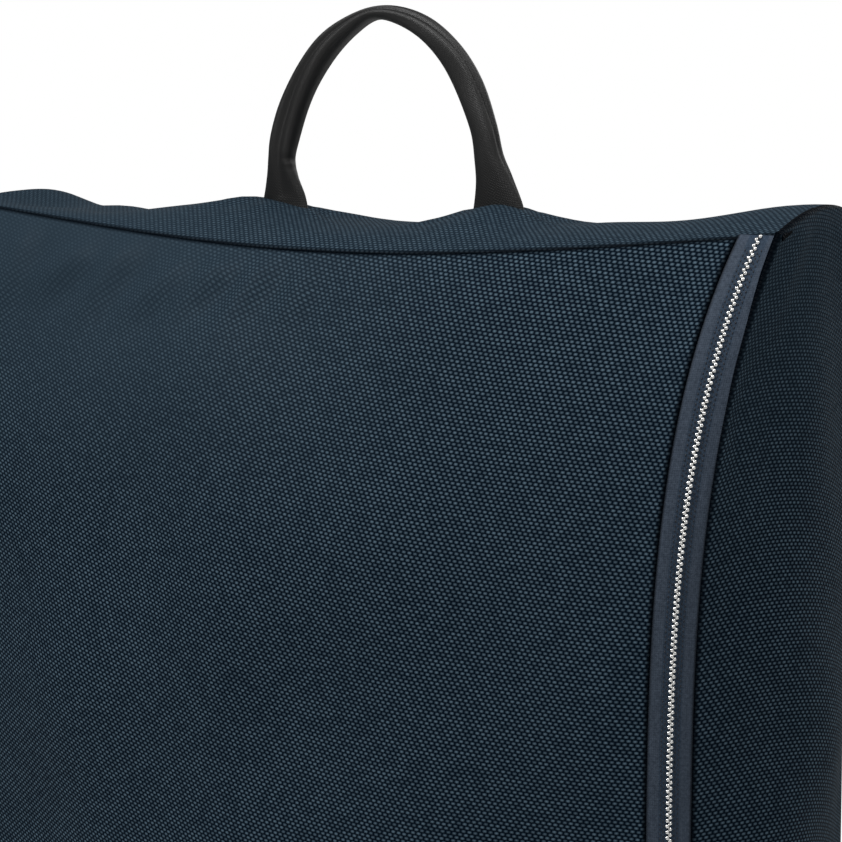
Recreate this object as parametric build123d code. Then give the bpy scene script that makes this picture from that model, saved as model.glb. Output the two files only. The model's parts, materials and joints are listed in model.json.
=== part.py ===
from build123d import *
import os
from math import cos, radians, sin

# A full-length gusseted garment bag, closed and filled, standing on its base.
# Millimetres. X is across the bag, the front faces -Y, Z is up.
# The origin is the middle of the flat base. The main zip runs up the front right edge.

os.makedirs("parts", exist_ok=True)

# Shell, measured over the outside of the cloth
WIDTH = 560.0            # across the top and bottom edges
DEPTH = 102.0            # width of the gusset at the top and bottom edges
HEIGHT = 1000.0          # base to the corners of the top seam
SKIN = 2.4               # shell cloth, foam and bonded lining together
TOP_SAG = 12.0           # how far the top surface hangs between its corners
CROWN_END = 9.5          # ridge above the seam at the two ends of the top gusset
CROWN_MIDDLE = 12.5      # and over its middle

# How far the filling pushes the walls out, where the bag is fullest
FRONT_EDGE_IN = 30.0     # front edges move in along X
FRONT_EDGE_OUT = 44.0    # and forward along Y
BACK_EDGE_IN = 14.0
BACK_EDGE_OUT = 8.0
FRONT_BULGE = 42.0       # rise of each wall between its edges
BACK_BULGE = 24.0
SIDE_BULGE = 22.0
BULGES = {0: FRONT_BULGE, 2: SIDE_BULGE, 3: BACK_BULGE, 4: SIDE_BULGE}   # by side of the outline
FLAT_BULGE = 0.6         # what is left where a wall is nearly flat
TOP_RUN = 320.0          # length over which the edges fill out below the top
BASE_RUN = 90.0          # and above the base
TOP_BULGE_RUN = 500.0
BASE_BULGE_RUN = 250.0

# Zip
STRIP = 25.0             # width of zip tape that shows
STRIP_SETBACK = 12.0     # side edge of the zip strip behind the full front edge
STRIP_TURN = 44.0        # degrees the strip faces round the corner where the bag is full
TEETH_GAP = 1.4          # clear slot between the two rows
TEETH_WIDE = 2.4
TEETH_OUT = 0.3          # front of the teeth beyond the strip's line
TEETH_IN = 2.3           # back of the teeth inside it
TAPE_OUT = 0.4
TAPE_IN = 1.6
STOP_LONG = 5.0
ZIP_TOP = 995.5          # upper end of the teeth, tucked under the top gusset
ZIP_BOTTOM = 95.0        # lower end of the teeth

# Slider and pull, in the strip's own directions
SLIDER_WIDE = 10.0
SLIDER_LONG = 15.0
SLIDER_PLATE = 1.0
SLIDER_GAP = 0.3         # running clearance to the teeth and tape
SLIDER_BLADE = 0.8
SLIDER_Z = 104.0         # middle of the slider when the bag is closed
BRIDGE_WIDE = 2.6
BRIDGE_LONG = 9.2
BRIDGE_HIGH = 4.6
BRIDGE_METAL = 1.5
PULL_BAR_R = 0.9
PULL_LONG = 42.0
PULL_WIDE = 9.0
PULL_THICK = 1.4
PULL_EYE_R = 2.4

# Carrying handle
HANDLE_SPAN = 152.0      # between the middles of the two feet
HANDLE_TOP = 117.0       # top of the loop above the ridge
HANDLE_LEAN = 11.5       # how far each leg leans in at the top
HANDLE_ROUND = 55.0
GRIP_WIDE = 16.0
GRIP_THICK = 8.0
FOOT_LONG = 30.0         # flat webbing end, standing across the bag on the ridge
FOOT_WIDE = 5.0
FOOT_HIGH = 7.0
FOOT_AIR = 1.0           # room under the leg's rounded end
BACKING_LONG = 56.0
BACKING_WIDE = 42.0
BACKING_THICK = 1.6

# Inside
BOARD_MARGIN = 12.0
BOARD_THICK = 3.0
BINDING_WIDE = 9.0
BINDING_THICK = 1.6
HANG_STRAP_WIDE = 38.0
HANG_STRAP_THICK = 2.0
HANG_STRAP_LOW = 898.0
BRACKET_WIDE = 64.0
BRACKET_LOW = 880.0
BRACKET_HIGH = 34.0
BRACKET_METAL = 2.5
BRACKET_DEEP = 24.0
EAR_HIGH = 20.0
PIN_R = 2.0
PIN_Y = -18.0
PIN_Z = BRACKET_LOW + 14.0
PIN_RUN = 0.05           # radial running clearance of the jaw on its pin
JAW_R = 3.6
JAW_LONG = 14.0
JAW_THICK = 2.0
RIVET_R = 2.5
RIVET_HEAD_R = 4.5
RIVET_HEAD = 1.2

TIE_Z = 560.0            # height of the garment strap
TIE_Y = 60.0
TIE_WIDE = 25.0
TIE_THICK = 1.5
TIE_REACH = 190.0        # from the middle to each sewn end
PATCH = 32.0
SOCKET_LONG = 30.0
SOCKET_DEEP = 12.0
SOCKET_HIGH = 38.0
PLUG_LONG = 26.0
PLUG_DEEP = 8.0
PRONG_LONG = 14.0
PRONG_HIGH = 4.0
PRONG_DEEP = 4.0
PRONG_Z = 15.0
PRONG_GAP = 0.35

# Heights at which the walls are cut across, closer together where they curve
LEVELS = [SKIN, 14, 32, 56, BASE_RUN, 160, 250, 380, 500, 600, HEIGHT - TOP_RUN,
          740, 790, 835, 875, 910, 940, 965, 984, ZIP_TOP, HEIGHT, HEIGHT + 16]
TOP_HALF = WIDTH / 2 + 20    # the top surface is drawn this far past the bag along X
TOP_REACH = DEPTH / 2 + 24   # and along Y


def filled(distance, run):
    """0 at an edge, rising to 1 at the given run from it."""
    return 1 - (1 - min(max(distance, 0.0), run) / run) ** 3


def edge_fill(z):
    return min(filled(z, BASE_RUN), filled(HEIGHT - z, TOP_RUN))


def bulge_fill(z):
    return min(filled(z, BASE_BULGE_RUN), filled(HEIGHT - z, TOP_BULGE_RUN))


def corners(z):
    """The five outer corners at height z, anticlockwise from the front left:
    front left, both edges of the zip strip, back right, back left."""
    full = edge_fill(z)
    front_x = WIDTH / 2 - FRONT_EDGE_IN * full
    front_y = -(DEPTH / 2 + FRONT_EDGE_OUT * full)
    back_x = WIDTH / 2 - BACK_EDGE_IN * full
    back_y = DEPTH / 2 + BACK_EDGE_OUT * full
    turn = radians(STRIP_TURN * full)
    strip_side = Vector(front_x, front_y + STRIP_SETBACK * full)
    strip_front = strip_side - Vector(cos(turn), sin(turn)) * STRIP
    return [Vector(-front_x, front_y), strip_front, strip_side, Vector(back_x, back_y),
            Vector(-back_x, back_y)]


def inward(points, side):
    """Unit normal of one side of the loop, pointing into the bag."""
    along = (points[(side + 1) % 5] - points[side]).normalized()
    return Vector(-along.Y, along.X)


def mitre(points, corner):
    """Step that moves a corner one millimetre inside both of its sides."""
    before = inward(points, (corner - 1) % 5)
    after = inward(points, corner)
    return (before + after) / (1 + before.dot(after))


def rise_of(bulge, z):
    return max(bulge * bulge_fill(z), FLAT_BULGE)


def wall_section(side, z):
    """One wall cut across at height z: a bowed strip with mitred ends."""
    points = corners(z)
    a, b = points[side], points[(side + 1) % 5]
    a_in = a + mitre(points, side) * SKIN
    b_in = b + mitre(points, (side + 1) % 5) * SKIN
    rise = rise_of(BULGES[side], z)
    out = -inward(points, side)
    middle = (a + b) / 2 + out * rise
    middle_in = (a + b) / 2 + out * (rise - SKIN)
    lift = Vector(0, 0, z)
    outline = [ThreePointArc(a + lift, middle + lift, b + lift), Line(b + lift, b_in + lift),
               ThreePointArc(b_in + lift, middle_in + lift, a_in + lift), Line(a_in + lift, a + lift)]
    return Face(Wire([piece.edge() for piece in outline]))


def wall(side):
    return loft([wall_section(side, z) for z in LEVELS], ruled=True)


def whole_section(z):
    """The outline of the whole bag at height z."""
    points = corners(z)
    lift = Vector(0, 0, z)
    outline = []
    for side, a in enumerate(points):
        b = points[(side + 1) % 5]
        if side in BULGES:
            middle = (a + b) / 2 - inward(points, side) * rise_of(BULGES[side], z)
            outline.append(ThreePointArc(a + lift, middle + lift, b + lift))
        else:
            outline.append(Line(a + lift, b + lift))
    return Face(Wire([piece.edge() for piece in outline]))


def strip_section(z, start, end, outside, inside):
    """Part of the zip strip cut across at height z. start and end are distances
    from the middle of the strip; at the strip's own edges they follow the mitre."""
    points = corners(z)
    along = (points[2] - points[1]).normalized()
    into = inward(points, 1)
    middle = (points[1] + points[2]) / 2

    def place(across, depth):
        if abs(across) < STRIP / 2:
            return middle + along * across + into * depth
        corner = 1 if across < 0 else 2
        return points[corner] + mitre(points, corner) * depth

    outline = [place(start, outside), place(end, outside), place(end, inside), place(start, inside)]
    return Face(Wire.make_polygon([p + Vector(0, 0, z) for p in outline], close=True))


def strip_run(low, high, start, end, outside, inside):
    heights = [low] + [z for z in LEVELS if low < z < high] + [high]
    return loft([strip_section(z, start, end, outside, inside) for z in heights], ruled=True)


def top_section(y, raised, stop):
    """The space between the top surface and the height stop, cut along X at y."""
    near_ridge = 1 - (2 * y / DEPTH) ** 2
    low = HEIGHT - TOP_SAG + CROWN_MIDDLE * near_ridge + raised
    end = low + (TOP_SAG + (CROWN_END - CROWN_MIDDLE) * near_ridge) * (2 * TOP_HALF / WIDTH) ** 2
    a, b = Vector(-TOP_HALF, y, end), Vector(TOP_HALF, y, end)
    c, d = Vector(TOP_HALF, y, stop), Vector(-TOP_HALF, y, stop)
    outline = [ThreePointArc(a, Vector(0, y, low), b), Line(b, c), Line(c, d), Line(d, a)]
    return Face(Wire([piece.edge() for piece in outline]))


def top_space(raised, stop):
    """The same space as a solid. The top surface is raised or lowered by a thickness."""
    steps = [-1, -0.7, -0.35, 0, 0.35, 0.7, 1]
    return loft([top_section(step * TOP_REACH, raised, stop) for step in steps], ruled=True)


def top_layer(low, high):
    return top_space(high, HEIGHT / 2) - top_space(low, HEIGHT / 2)


def upright(length, width, x=0, y=0):
    """A rounded footprint carried right up through the top of the bag."""
    plate = Pos(x, y) * RectangleRounded(length, width, min(4, width * 0.4))
    return Pos(0, 0, HEIGHT / 2) * extrude(plate, HEIGHT)


def ridge_height(x):
    return HEIGHT - TOP_SAG + CROWN_MIDDLE + (TOP_SAG + CROWN_END - CROWN_MIDDLE) * (2 * x / WIDTH) ** 2


def plain_box(low, high):
    size = Vector(*high) - Vector(*low)
    return Pos(*low) * Box(size.X, size.Y, size.Z, align=(Align.MIN, Align.MIN, Align.MIN))


def shell():
    above = top_space(-SKIN, HEIGHT * 1.2)
    walls = {"front_panel": 0, "right_gusset": 2, "back_panel": 3, "left_gusset": 4}
    nodes = {name: wall(side) - above for name, side in walls.items()}
    bag = loft([whole_section(z) for z in LEVELS if z > HEIGHT * 0.9], ruled=True)
    nodes["top_gusset"] = top_layer(-SKIN, 0) & bag
    nodes["bottom_gusset"] = plain_box((-WIDTH / 2, -DEPTH / 2, 0), (WIDTH / 2, DEPTH / 2, SKIN))
    tooth_edge = TEETH_GAP / 2 + TEETH_WIDE
    runs = {"zip_tape_front": (-STRIP / 2, -tooth_edge), "zip_tape_side": (tooth_edge, STRIP / 2)}
    for name, (start, end) in runs.items():
        nodes[name] = strip_run(SKIN, HEIGHT + 16, start, end, TAPE_OUT, TAPE_IN) - above
    return nodes


def zip_rows():
    inner, outer = TEETH_GAP / 2, TEETH_GAP / 2 + TEETH_WIDE
    rows = {"zip_teeth_front": (-outer, -inner), "zip_teeth_side": (inner, outer)}
    nodes = {name: strip_run(ZIP_BOTTOM, ZIP_TOP, start, end, -TEETH_OUT, TEETH_IN)
             for name, (start, end) in rows.items()}
    nodes["zip_bottom_stop"] = strip_run(ZIP_BOTTOM - STOP_LONG, ZIP_BOTTOM, -outer, outer,
                                         -TEETH_OUT, TEETH_IN)
    return nodes


def strip_place():
    """Place on the straight run of the zip: X across the strip, Y up, Z outwards."""
    points = corners(HEIGHT / 2)
    middle = (points[1] + points[2]) / 2 + Vector(0, 0, SLIDER_Z)
    turn = radians(STRIP_TURN)
    across, outwards = (cos(turn), sin(turn), 0), (sin(turn), -cos(turn), 0)
    return Location(Plane(origin=middle, x_dir=across, z_dir=outwards))


def slider():
    place = strip_place()
    half, reach = SLIDER_WIDE / 2, SLIDER_LONG / 2
    front = TEETH_OUT + SLIDER_GAP
    back = -TEETH_IN - SLIDER_GAP
    plate = extrude(RectangleRounded(SLIDER_WIDE, SLIDER_LONG, 2.5), SLIDER_PLATE)
    body = Pos(0, 0, front) * plate + Pos(0, 0, back - SLIDER_PLATE) * plate
    body += plain_box((-SLIDER_BLADE / 2, 0, back), (SLIDER_BLADE / 2, reach - 1, front))
    lip = TEETH_GAP / 2 + TEETH_WIDE + SLIDER_GAP
    for side in (-1, 1):
        low, high = sorted((side * lip, side * half))
        body += plain_box((low, 3 - reach, -TAPE_OUT + SLIDER_GAP), (high, reach - 3, front))
        body += plain_box((low, 3 - reach, back), (high, reach - 3, -TAPE_IN - SLIDER_GAP))
    top = front + SLIDER_PLATE
    bridge = plain_box((-BRIDGE_WIDE / 2, -BRIDGE_LONG / 2, top),
                       (BRIDGE_WIDE / 2, BRIDGE_LONG / 2, top + BRIDGE_HIGH))
    bridge -= plain_box((-BRIDGE_WIDE, BRIDGE_METAL - BRIDGE_LONG / 2, top),
                        (BRIDGE_WIDE, BRIDGE_LONG / 2 - BRIDGE_METAL, top + BRIDGE_HIGH - BRIDGE_METAL))
    bar_z = top + (BRIDGE_HIGH - BRIDGE_METAL) / 2
    leg_in = BRIDGE_WIDE / 2 + 0.5
    pull = Pos(0, 0, bar_z) * Rot(0, 90, 0) * Cylinder(PULL_BAR_R, PULL_WIDE - 1)
    low, high = bar_z - PULL_THICK / 2, bar_z + PULL_THICK / 2
    plate = Pos(0, -PULL_LONG / 2 + 1) * RectangleRounded(PULL_WIDE, PULL_LONG, 2.5)
    window = plain_box((-leg_in, -7, low), (leg_in, 3, high))
    eye = Pos(0, 5 - PULL_LONG, bar_z) * Cylinder(PULL_EYE_R, PULL_THICK)
    pull += Pos(0, 0, low) * extrude(plate, PULL_THICK) - window - eye
    return {"slider_body": place * body, "slider_bridge": place * bridge, "pull_tab": place * pull}, bar_z


def handle():
    axis_z = ridge_height(HANDLE_SPAN / 2) + FOOT_HIGH + FOOT_AIR + GRIP_WIDE / 2
    top_z = ridge_height(0) + HANDLE_TOP - GRIP_THICK / 2
    half = HANDLE_SPAN / 2
    corner = half - HANDLE_LEAN
    route = FilletPolyline((-half, 0, axis_z), (-corner, 0, top_z), (corner, 0, top_z), (half, 0, axis_z),
                           radius=HANDLE_ROUND)
    start = Plane(origin=route @ 0, x_dir=(0, 1, 0), z_dir=route % 0)
    loop = sweep(start * RectangleRounded(GRIP_WIDE, GRIP_THICK, GRIP_THICK * 0.4), route)
    for x in (-half, half):
        loop += Pos(x, 0, axis_z) * Rot(0, 90, 0) * Cylinder(GRIP_WIDE / 2, GRIP_THICK)
    nodes = {"handle_loop": loop}
    raised = top_layer(0, FOOT_HIGH)
    hidden = top_layer(-SKIN - BACKING_THICK, -SKIN)
    for name, x in {"left": -half, "right": half}.items():
        nodes[f"handle_foot_{name}"] = raised & upright(FOOT_LONG, FOOT_WIDE, x)
        nodes[f"handle_backing_{name}"] = hidden & upright(BACKING_LONG, BACKING_WIDE, x)
    return nodes, axis_z


def upright_binding(corner):
    """Bound seam allowance standing into the bag all the way up one corner."""
    faces = []
    for z in [z for z in LEVELS if 14 <= z <= 965]:
        points = corners(z)
        step = mitre(points, corner)
        point = points[corner] + step * SKIN
        into = step.normalized()
        aside = Vector(-into.Y, into.X) * (BINDING_THICK / 2)
        near, far = point + into * BINDING_THICK, point + into * BINDING_WIDE
        outline = [near - aside, far - aside, far + aside, near + aside]
        faces.append(Face(Wire.make_polygon([p + Vector(0, 0, z) for p in outline], close=True)))
    return loft(faces, ruled=True)


def bindings():
    edge = DEPTH / 2 - SKIN
    half = WIDTH / 2 - SKIN - BINDING_WIDE
    under = top_layer(-SKIN - BINDING_WIDE, -SKIN)
    nodes = {}
    for name, side, uprights in (("front_binding", -1, (0,)), ("back_binding", 1, (3, 4))):
        low, high = sorted((side * (edge - BINDING_THICK), side * edge))
        base = plain_box((-half, low, SKIN), (half, high, SKIN + BINDING_WIDE))
        slab = plain_box((-half, low, HEIGHT / 2), (half, high, HEIGHT * 1.2))
        solids = [base, under & slab] + [upright_binding(corner) for corner in uprights]
        nodes[name] = Compound(children=[solid for piece in solids for solid in piece.solids()])
    return nodes


def hanger_holder():
    """Webbing tab under the top gusset, with the steel bracket that holds hanger hooks."""
    half = HANG_STRAP_WIDE / 2
    strap = plain_box((-half, -HANG_STRAP_THICK / 2, HANG_STRAP_LOW),
                      (half, HANG_STRAP_THICK / 2, HEIGHT * 1.1))
    strap &= top_space(-SKIN, HEIGHT / 2)
    wide, back = BRACKET_WIDE / 2, HANG_STRAP_THICK / 2
    bracket = plain_box((-wide, back, BRACKET_LOW),
                        (wide, back + BRACKET_METAL, BRACKET_LOW + BRACKET_HIGH))
    bracket += plain_box((-wide, -BRACKET_DEEP, BRACKET_LOW), (wide, back, BRACKET_LOW + BRACKET_METAL))
    for x in (-wide, wide - BRACKET_METAL):
        bracket += plain_box((x, -BRACKET_DEEP, BRACKET_LOW),
                             (x + BRACKET_METAL, back, BRACKET_LOW + EAR_HIGH))
    across = Pos(0, PIN_Y, PIN_Z) * Rot(0, 90, 0)
    bracket -= across * Cylinder(PIN_R, BRACKET_WIDE + 2)
    pin = across * Cylinder(PIN_R, BRACKET_WIDE)
    jaw_half = wide - BRACKET_METAL - 0.5
    jaw = across * Cylinder(JAW_R, 2 * jaw_half)
    jaw += plain_box((-jaw_half, PIN_Y, PIN_Z - JAW_THICK / 2),
                     (jaw_half, PIN_Y + JAW_LONG, PIN_Z + JAW_THICK / 2))
    jaw -= across * Cylinder(PIN_R + PIN_RUN, BRACKET_WIDE + 2)
    rivet = Cylinder(RIVET_R, HANG_STRAP_THICK + BRACKET_METAL)
    head = Cylinder(RIVET_HEAD_R, RIVET_HEAD)
    reach = (HANG_STRAP_THICK + BRACKET_METAL + RIVET_HEAD) / 2
    rivet += Pos(0, 0, reach) * head + Pos(0, 0, -reach) * head
    spots = [Pos(x, BRACKET_METAL / 2, HANG_STRAP_LOW + 9) * Rot(90, 0, 0) for x in (-12, 12)]
    rivets = [spot * rivet for spot in spots]
    for spot in spots:
        hole = spot * Cylinder(RIVET_R, 3 * BRACKET_METAL)
        strap -= hole
        bracket -= hole
    return {"hanger_strap": strap, "hanger_bracket": bracket, "clamp_pin": pin, "clamp_jaw": jaw,
            "bracket_rivets": Compound(children=[solid for one in rivets for solid in one.solids()])}


def garment_tie(back_panel):
    """Strap across the garments: two webbings, their sewn patches and a side-release buckle."""
    low_z, high_z = TIE_Z - TIE_WIDE / 2, TIE_Z + TIE_WIDE / 2
    low_y, high_y = TIE_Y - TIE_THICK / 2, TIE_Y + TIE_THICK / 2
    left = plain_box((-TIE_REACH, low_y, low_z), (-SOCKET_LONG, high_y, high_z))
    right = plain_box((PLUG_LONG / 2, low_y, low_z), (TIE_REACH, high_y, high_z))
    socket = plain_box((-SOCKET_LONG, TIE_Y - SOCKET_DEEP / 2, TIE_Z - SOCKET_HIGH / 2),
                       (0, TIE_Y + SOCKET_DEEP / 2, TIE_Z + SOCKET_HIGH / 2))
    plug = plain_box((0.3, TIE_Y - PLUG_DEEP / 2, TIE_Z - SOCKET_HIGH / 2 + 1),
                     (PLUG_LONG, TIE_Y + PLUG_DEEP / 2, TIE_Z + SOCKET_HIGH / 2 - 1))
    plug -= plain_box((-1, low_y - 0.5, low_z - 0.5), (PLUG_LONG + 1, high_y + 0.5, high_z + 0.5))
    for side in (-1, 1):
        middle = TIE_Z + side * PRONG_Z
        plug += plain_box((-PRONG_LONG, TIE_Y - PRONG_DEEP / 2, middle - PRONG_HIGH / 2),
                          (1, TIE_Y + PRONG_DEEP / 2, middle + PRONG_HIGH / 2))
        half_deep, half_high = PRONG_DEEP / 2 + PRONG_GAP, PRONG_HIGH / 2 + PRONG_GAP
        socket -= plain_box((-PRONG_LONG - 1, TIE_Y - half_deep, middle - half_high),
                            (1, TIE_Y + half_deep, middle + half_high))
    nodes = {"tie_strap_left": left, "tie_strap_right": right,
             "buckle_socket": socket, "buckle_plug": plug}
    for name, x in {"left": PATCH / 2 - TIE_REACH, "right": TIE_REACH - PATCH / 2}.items():
        block = plain_box((x - PATCH / 2, high_y, TIE_Z - PATCH / 2),
                          (x + PATCH / 2, TIE_Y + 40, TIE_Z + PATCH / 2))
        inside = (block - back_panel).solids().sort_by(Axis.Y)
        nodes[f"tie_patch_{name}"] = inside[0]
    return nodes


def base_board():
    half, deep = WIDTH / 2 - BOARD_MARGIN, DEPTH / 2 - BOARD_MARGIN
    plate = RectangleRounded(2 * half, 2 * deep, 12)
    return Pos(0, 0, SKIN) * extrude(plate, BOARD_THICK)


def build():
    nodes = shell()
    nodes.update(zip_rows())
    moving, bar_z = slider()
    nodes.update(moving)
    grip, axis_z = handle()
    nodes.update(grip)
    nodes.update(bindings())
    nodes.update(hanger_holder())
    nodes.update(garment_tie(nodes["back_panel"]))
    nodes["base_board"] = base_board()
    hinge = (strip_place() * Pos(0, 0, bar_z)).position
    print("handle hinge z", round(axis_z, 3), " pull hinge", [round(v, 3) for v in hinge])
    return nodes


for name, shape in build().items():
    export_step(shape, f"parts/{name}.step")
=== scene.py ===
import json
import math

import bmesh
import bpy
import numpy as np
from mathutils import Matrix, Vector


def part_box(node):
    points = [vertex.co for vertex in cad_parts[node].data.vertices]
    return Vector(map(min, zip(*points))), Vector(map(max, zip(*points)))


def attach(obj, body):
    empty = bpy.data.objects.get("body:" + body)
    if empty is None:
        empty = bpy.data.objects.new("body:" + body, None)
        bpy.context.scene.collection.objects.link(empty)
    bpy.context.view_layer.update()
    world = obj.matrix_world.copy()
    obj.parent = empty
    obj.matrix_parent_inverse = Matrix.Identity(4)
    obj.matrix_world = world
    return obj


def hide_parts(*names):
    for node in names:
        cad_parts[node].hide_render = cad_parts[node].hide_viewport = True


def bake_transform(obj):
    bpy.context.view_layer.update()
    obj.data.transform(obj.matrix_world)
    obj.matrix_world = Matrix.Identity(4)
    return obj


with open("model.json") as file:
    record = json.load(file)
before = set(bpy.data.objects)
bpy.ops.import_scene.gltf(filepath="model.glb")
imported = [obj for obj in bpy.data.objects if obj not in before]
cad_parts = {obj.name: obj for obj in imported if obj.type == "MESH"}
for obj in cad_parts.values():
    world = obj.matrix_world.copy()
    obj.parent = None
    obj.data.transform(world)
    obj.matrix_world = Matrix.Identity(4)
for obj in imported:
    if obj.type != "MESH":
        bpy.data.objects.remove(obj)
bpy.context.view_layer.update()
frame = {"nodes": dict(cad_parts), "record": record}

# The looks of a filled, closed garment bag. Metres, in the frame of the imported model.
# Every panel is drawn on the same five-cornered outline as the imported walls, then given
# its seams, folds and tucks in its own mesh.


def size_of(node):
    low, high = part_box(node)
    return [b - a for a, b in zip(low, high)]


# ---- driving dimensions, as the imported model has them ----
WIDTH, DEPTH, _ = size_of("bottom_gusset")
HEIGHT = 1.000
TOP_SAG = 0.012
CROWN_END, CROWN_MIDDLE = 0.0095, 0.0125
FRONT_EDGE_IN, FRONT_EDGE_OUT = 0.030, 0.044
BACK_EDGE_IN, BACK_EDGE_OUT = 0.014, 0.008
FRONT_BULGE, BACK_BULGE, SIDE_BULGE, FLAT_BULGE = 0.042, 0.024, 0.022, 0.0006
TOP_RUN, BASE_RUN, TOP_BULGE_RUN, BASE_BULGE_RUN = 0.320, 0.090, 0.500, 0.250
STRIP, STRIP_SETBACK, STRIP_TURN = 0.025, 0.012, math.radians(44)
ZIP_BOTTOM, ZIP_TOP = 0.095, 0.9990
FRONT, RIGHT_END, BACK, LEFT_END = 0, 2, 3, 4   # each wall by the outline corner it starts from
BULGES = {FRONT: FRONT_BULGE, RIGHT_END: SIDE_BULGE, BACK: BACK_BULGE, LEFT_END: SIDE_BULGE}
SEAM_ROUNDS = 12         # rounds that settle a wall's top edge on the top gusset
HANDLE_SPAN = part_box("handle_foot_right")[1][0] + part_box("handle_foot_right")[0][0]

ROLL = 0.0022            # radius of a turned seam edge
CELL = 0.0065            # spacing of the panel grids
CLOTH = 0.0016           # thickness of the drawn cloth
GRAIN = math.radians(9)  # how far the weave lies off the panel's own line


# ---- the bag's form ----
def filled(distance, run):
    return 1 - (1 - np.clip(distance, 0, run) / run) ** 3


def edge_fill(z):
    return np.minimum(filled(z, BASE_RUN), filled(HEIGHT - z, TOP_RUN))


def bulge_fill(z):
    return np.minimum(filled(z, BASE_BULGE_RUN), filled(HEIGHT - z, TOP_BULGE_RUN))


def corner(which, z):
    """Outer corner of the outline at height z: 0 front left, 1 and 2 the edges of the
    zip strip, 3 back right, 4 back left."""
    full = edge_fill(z)
    front_x = WIDTH / 2 - FRONT_EDGE_IN * full
    front_y = -(DEPTH / 2 + FRONT_EDGE_OUT * full)
    back_x = WIDTH / 2 - BACK_EDGE_IN * full
    back_y = DEPTH / 2 + BACK_EDGE_OUT * full
    side_y = front_y + STRIP_SETBACK * full
    turn = STRIP_TURN * full
    which %= 5
    if which == 0:
        return -front_x, front_y
    if which == 1:
        return front_x - STRIP * np.cos(turn), side_y - STRIP * np.sin(turn)
    if which == 2:
        return front_x, side_y
    return (back_x, back_y) if which == 3 else (-back_x, back_y)


def wall_xy(side, across, z):
    """Point of a wall at height z; across runs 0 to 1 between its two corners."""
    ax, ay = corner(side, z)
    bx, by = corner(side + 1, z)
    dx, dy = bx - ax, by - ay
    chord = np.hypot(dx, dy)
    rise = np.maximum(BULGES[side] * bulge_fill(z), FLAT_BULGE)
    radius = (chord ** 2 / 4 + rise ** 2) / (2 * rise)
    angle = (2 * across - 1) * np.arcsin(chord / 2 / radius)
    along = radius * np.sin(angle)
    out = radius * np.cos(angle) - (radius - rise)
    ux, uy = dx / chord, dy / chord
    return (ax + bx) / 2 + ux * along + uy * out, (ay + by) / 2 + uy * along - ux * out


def bell(x, middle, spread):
    return np.exp(-((x - middle) / spread) ** 2)


def ease(share):
    share = np.clip(share, 0, 1)
    return share * share * (3 - 2 * share)


def ridge_lift(x):
    """The top is held up at the handle's feet and the right corner and hangs between them."""
    feet = 0.0102 * bell(x, -HANDLE_SPAN * 0.62, 0.043) + 0.0102 * bell(x, HANDLE_SPAN * 0.505, 0.0265)
    ends = 0.0076 * bell(x, WIDTH * 0.468, 0.058) + 0.0040 * bell(x, -WIDTH / 2, 0.012)
    between = 0.0016 * bell(x, WIDTH * 0.025, 0.040)
    beside_right = 0.0014 * bell(x, WIDTH * 0.21, 0.022)
    return feet + ends - between - beside_right - 0.0048


def left_hollow(x):
    """Dip of the top between its left end and the left foot of the handle."""
    return 0.0070 * bell(x, -WIDTH * 0.355, 0.030) + 0.0078 * bell(x, -WIDTH * 0.450, 0.025)


def top_z(x, y):
    near_ridge = 1 - (2 * y / DEPTH) ** 2
    low = HEIGHT - TOP_SAG + CROWN_MIDDLE * near_ridge
    return low + (TOP_SAG + (CROWN_END - CROWN_MIDDLE) * near_ridge) * (2 * x / WIDTH) ** 2


def seam_height(side, across):
    """Height at which a wall meets the top gusset. The left end is rolled under it."""
    z = np.full(np.shape(across), HEIGHT)
    for _ in range(SEAM_ROUNDS):
        x, y = wall_xy(side, across, z)
        z = top_z(x, y) + top_lift(x, y)
    return z - 0.9 * ROLL if side == LEFT_END else z


# ---- grids ----
def stops(length, cell=CELL):
    """Distances along a panel, close together at its two turned edges."""
    fine = np.array([0, 0.12, 0.35, 0.65, 1.0, 1.7]) * ROLL
    count = max(2, int(round((length - 2 * fine[-1]) / cell)))
    middle = np.linspace(fine[-1], length - fine[-1], count + 1)
    return np.concatenate([fine[:-1], middle, (length - fine[:-1])[::-1]]) / length


def normals_of(points):
    down = np.gradient(points, axis=0)
    across = np.gradient(points, axis=1)
    normal = np.cross(across, down)
    return normal / np.maximum(np.linalg.norm(normal, axis=2, keepdims=True), 1e-12)


def turned(distance, radius=ROLL):
    """How far a turned edge drops below the panel at a distance from the seam."""
    left = np.clip(1 - distance / radius, 0, 1)
    return radius * (1 - np.sqrt(1 - left ** 2))


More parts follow.
